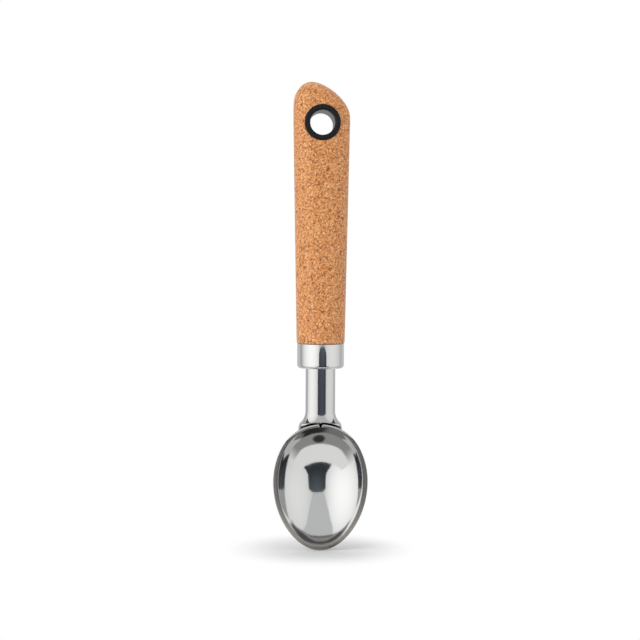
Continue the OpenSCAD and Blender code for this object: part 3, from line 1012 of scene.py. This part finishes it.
class SPOON_OT_stage(bpy.types.Operator):
    """Sets up the white table, the softboxes, the dark surroundings and the camera"""
    bl_idname = "spoon.stage"
    bl_label = "Stage"

    def execute(self, context):
        self.world()
        self.table()
        self.lamps()
        self.surroundings()
        self.camera()
        context.scene.view_settings.view_transform = "Standard"
        return {"FINISHED"}

    def rays(self, tree):
        """Tells the rays apart: 1 for what the camera sees, and 1 for what metal or glass shows."""
        path = add(tree, "LightPath")
        mirrored = add(tree, "Math", {
            0: path.outputs["Is Glossy Ray"], 1: path.outputs["Is Transmission Ray"]}, operation="ADD")
        return path.outputs["Is Camera Ray"], mirrored

    def world(self):
        """A white room to the camera, a pale grey one in the metal, and an even light elsewhere."""
        world = bpy.data.worlds.new("White studio")
        bpy.context.scene.world = world
        world.use_nodes = True
        tree = world.node_tree
        tree.nodes.clear()
        seen, mirrored = self.rays(tree)
        light, pale, white = [
            add(tree, "Background", {"Color": tint, "Strength": strength})
            for tint, strength in ((WHITE, 0.8), ((0.97, 0.985, 1, 1), 0.74), (WHITE, 1))]
        room = add(tree, "MixShader", {0: mirrored, 1: light, 2: pale})
        whole = add(tree, "MixShader", {0: seen, 1: room, 2: white})
        add(tree, "OutputWorld", {"Surface": whole})

    def table(self):
        """A small white table under the tip. It keeps the shadow, is plain white towards its edge, and
        shows painted shade in the metal.
        """
        deselect()
        low = CAD_BOX[0][2]
        side = 144 * MM
        bpy.ops.mesh.primitive_plane_add(size=side, location=(0, 0, low))
        table = keep_place("table")
        material, tree, place = blank_material("White table")
        # In the metal the table is white all round, with painted shade in grey under the spoon and a dark
        # painted shadow at its foot.
        white, grey, dark = 1.05, 0.36, 0.12
        distance = add(tree, "VectorMath", {0: place, 1: (0, 0, low)}, operation="DISTANCE")
        along = add(tree, "SeparateXYZ", {"Vector": place})
        aside = add(tree, "Math", {0: along.outputs["X"]}, operation="ABSOLUTE")
        foot_shadow_place = add(tree, "Mapping", {
            "Vector": place, "Location": (-5.2 * MM, 19 * MM, -low), "Scale": (1.25, 1, 1)})
        foot = add(tree, "VectorMath", {0: foot_shadow_place}, operation="LENGTH")
        # Each zone blends from one value to the next between two distances in millimetres.
        far, front, behind, sides, foot_shadow = [
            add(tree, "MapRange", {
                "Value": value, "From Min": start * MM, "From Max": end * MM,
                "To Min": before, "To Max": after}, interpolation_type="SMOOTHSTEP")
            for value, start, end, before, after in (
                (distance.outputs["Value"], 16, 46, 0, 1),
                (along.outputs["Y"], -33, -30, white, grey),
                (along.outputs["Y"], 8, 14, 0, white - grey),
                (aside, 40, 74, grey, white),
                (foot.outputs["Value"], 7, 11.5, dark, 1))]
        whole = add(tree, "Math", {0: front, 1: behind}, operation="ADD")
        paler = add(tree, "Math", {0: whole, 1: sides}, operation="MAXIMUM")
        # The dark round at the spoon's foot is a painted shadow laid over the painted shade.
        shaded = add(tree, "Math", {0: paler, 1: foot_shadow}, operation="MULTIPLY")
        table_with_painted_shade = add(tree, "Emission", {"Color": WHITE, "Strength": shaded})
        # The camera sees white paint that keeps the shadow, and plain white away from the spoon.
        paint = add(tree, "BsdfDiffuse", {"Color": (0.8, 0.8, 0.8, 1)})
        glow = add(tree, "Emission", {"Color": WHITE, "Strength": 1})
        seen, mirrored = self.rays(tree)
        seen_far = add(tree, "Math", {0: far, 1: seen}, operation="MULTIPLY")
        lit = add(tree, "MixShader", {0: seen_far, 1: paint, 2: glow})
        # Metal and glass see this painted shade in place of the lit paint.
        mixed = add(tree, "MixShader", {0: mirrored, 1: lit, 2: table_with_painted_shade})
        add(tree, "OutputMaterial", {"Surface": mixed})
        table.data.materials.append(material)

    def turn(self, azimuth, elevation):
        """The turn from straight in front of the bowl to a direction in degrees."""
        return (Matrix.Rotation(math.radians(azimuth), 3, "Z")
                @ Matrix.Rotation(math.radians(-elevation), 3, "X"))

    def panel(self, name, facing, distance, corners, material, lights=False):
        """A flat panel that faces the bowl. Its direction and its corners are (azimuth, elevation)."""
        forwards = Vector((0, -1, 0))
        turn = self.turn(*facing)
        flat = []
        for corner in corners:
            way = turn.inverted() @ self.turn(*corner) @ forwards
            flat.append((-way.x / way.y * distance, -way.z / way.y * distance))
        ob = draw(name, flat[0], flat[1:])
        select_whole()
        bpy.ops.mesh.edge_face_add()
        deselect()
        ob.rotation_euler = turn.to_euler()
        ob.location = Egg().middle + turn @ forwards * distance
        take(ob)
        bpy.ops.object.transform_apply()
        ob.data.materials.append(material)
        ob.visible_camera = False
        ob.visible_shadow = False
        ob.visible_diffuse = lights
        ob.visible_transmission = lights

    def glow(self, name, tint, strength, centre=None, reach=1, edge=0):
        """A panel's light, even or falling off from a hot centre to its value at the reach."""
        material, tree, place = blank_material(name)
        if centre:
            distance = add(tree, "VectorMath", {0: place, 1: centre}, operation="DISTANCE")
            strength = add(tree, "MapRange", {
                "Value": distance.outputs["Value"], "From Max": reach,
                "To Min": strength, "To Max": edge}, interpolation_type="SMOOTHSTEP")
        light = add(tree, "Emission", {"Color": solid(tint), "Strength": strength})
        add(tree, "OutputMaterial", {"Surface": light})
        return material

    def lamps(self):
        """Two broad softboxes with sloping tops, one overhead, and a key light from the left."""
        self.panel("left_softbox", (-58, 4), 1.2, [
            (-29, -38), (-28, -26.5), (-22, -22), (-12, -14), (-10.5, -8), (-10.5, 2), (-7, 3.4), (-6.5, 5),
            (-10, 10), (-15.5, 18.5), (-23, 28.4), (-36, 38.7), (-42, 46), (-60, 41), (-84, 22), (-90, 46),
            (-118, 46), (-118, -38),
        ], self.glow("Left softbox", (1, 1, 1), 1.52, (-0.9, -0.8, -0.05), 2.4, 0.35), lights=True)
        self.panel("right_softbox", (64, 4), 1.2, [
            (47, -38), (46, -25.5), (40, -21.5), (28, -13), (27, -8), (25.5, 2), (17.5, 5), (18.5, 9),
            (26, 18.5), (34.5, 28.4), (44, 34.5), (60, 36.5), (75, 30), (84, 20), (90, 42), (118, 42),
            (118, -38),
        ], self.glow("Right softbox", (1, 1, 1), 1.12, (1, -0.72, -0.05), 2.6, 0.4), lights=True)
        self.panel("top_softbox", (0, 90), 0.9, [
            (-70, 72), (0, 74), (70, 72), (110, 60), (180, 55), (-110, 60),
        ], self.glow("Top softbox", (1, 1, 1), 1.4), lights=True)
        # The key light gives the cork its paler left side. It stays out of the steel's reflections.
        data = bpy.data.lights.new("key_light", "AREA")
        data.size = 0.5
        data.energy = 1.1
        key = bpy.data.objects.new("key_light", data)
        middle = Vector((0, 0, (CAD_BOX[0][2] + CAD_BOX[1][2]) / 2))
        key.location = middle + Vector((-0.52, -0.3, 0.2))
        key.rotation_euler = (middle - key.location).to_track_quat("-Z", "Y").to_euler()
        key.visible_glossy = False
        key.visible_camera = False
        bpy.context.scene.collection.objects.link(key)

    def surroundings(self):
        """What else the polished steel shows: the dark room between the softboxes, and the ceiling."""
        self.panel("dark_room", (8, -8), 2, [
            (-12, 2.6), (-8, 4), (0, 5.2), (9, 5.6), (17, 5), (23, 3.4), (28, 2.4), (50, -1), (50, -38),
            (-40, -38), (-40, 0),
        ], self.glow("Dark room", (0.8, 0.95, 1.1), 0.15, (0.28, -1.96, 0.1), 1.1, 0.05))
        self.panel("ceiling", (0, 62), 0.5, [
            (-84, 20), (-75, 28), (-60, 37), (-30, 45.5), (0, 47.8), (30, 45.5), (60, 35), (75, 27.5),
            (84, 19.5), (84, 64), (0, 74), (-84, 64),
        ], self.glow("Ceiling", (1, 0.95, 0.92), 0.36))
        self.panel("ceiling_far_end", (0, 62), 0.45, [
            (-84, 24), (-74, 32), (-60, 39), (-40, 47.5), (0, 53.6), (40, 47.5), (60, 37.5), (74, 30.5),
            (84, 23), (84, 64), (0, 74), (-84, 64),
        ], self.glow("Dim end of the ceiling", (1, 0.97, 1), 0.1))
        self.panel("ceiling_edge", (0, 50), 0.45, [
            (-42, 43.3), (-20, 46.6), (0, 47.6), (20, 46.6), (42, 42.7), (38, 45.5), (20, 48.6), (0, 49.6),
            (-20, 48.6), (-38, 45.5),
        ], self.glow("Edge of the ceiling", (1, 0.95, 0.95), 0.16))

    def camera(self):
        """The photograph's camera: a long lens in front of the bowl's upper end, a little to the left."""
        sizes = option("stage")
        data = bpy.data.cameras.new("Camera")
        data.lens = sizes.lens / MM
        data.clip_start = 10 * MM
        ob = bpy.data.objects.new("Camera", data)
        ob.location = (-sizes.camera_side, -sizes.camera_back, -sizes.camera_drop)
        turn = (Matrix.Rotation(-sizes.yaw, 4, "Z") @ Matrix.Rotation(math.pi / 2 - sizes.pitch, 4, "X")
                @ Matrix.Rotation(sizes.roll, 4, "Z"))
        ob.rotation_euler = turn.to_euler()
        bpy.context.scene.collection.objects.link(ob)
        bpy.context.scene.camera = ob


OPERATORS = (
    SPOON_OT_bowl,
    SPOON_OT_neck,
    SPOON_OT_ferrule,
    SPOON_OT_grip,
    SPOON_OT_eyelet,
    SPOON_OT_hidden_steel,
    SPOON_OT_stage,
)
GROUPS = {
    "bowl": BowlSizes,
    "neck": NeckSizes,
    "ferrule": FerruleSizes,
    "grip": GripSizes,
    "eyelet": EyeletSizes,
    "finishes": Finishes,
    "stage": StageSizes,
}


class SPOON_PT_panel(bpy.types.Panel):
    """Lists the spoon's pieces with their sizes"""
    bl_idname = "SPOON_PT_panel"
    bl_label = "Spoon"
    bl_space_type = "VIEW_3D"
    bl_region_type = "UI"
    bl_category = "Spoon"

    def draw(self, context):
        for operator in OPERATORS:
            self.layout.operator(operator.bl_idname)
        for name in GROUPS:
            group = getattr(context.scene, "spoon_" + name)
            box = self.layout.box()
            box.label(text=name.capitalize())
            for entry in group.bl_rna.properties:
                if entry.identifier not in ("rna_type", "name"):
                    box.prop(group, entry.identifier)


CLASSES = (*GROUPS.values(), *OPERATORS, SPOON_PT_panel)


def register():
    """Registers the classes and ties the groups of sizes to the scene."""
    for cls in CLASSES:
        bpy.utils.register_class(cls)
    for name, cls in GROUPS.items():
        setattr(bpy.types.Scene, "spoon_" + name, bpy.props.PointerProperty(type=cls))


def unregister():
    """Takes everything off again."""
    for name in GROUPS:
        delattr(bpy.types.Scene, "spoon_" + name)
    for cls in reversed(CLASSES):
        bpy.utils.unregister_class(cls)


def main():
    """Makes the pieces in order."""
    register()
    bpy.ops.spoon.bowl()
    bpy.ops.spoon.neck()
    bpy.ops.spoon.ferrule()
    bpy.ops.spoon.grip()
    bpy.ops.spoon.eyelet()
    bpy.ops.spoon.hidden_steel()
    bpy.ops.spoon.stage()


if __name__ == "__main__":
    main()
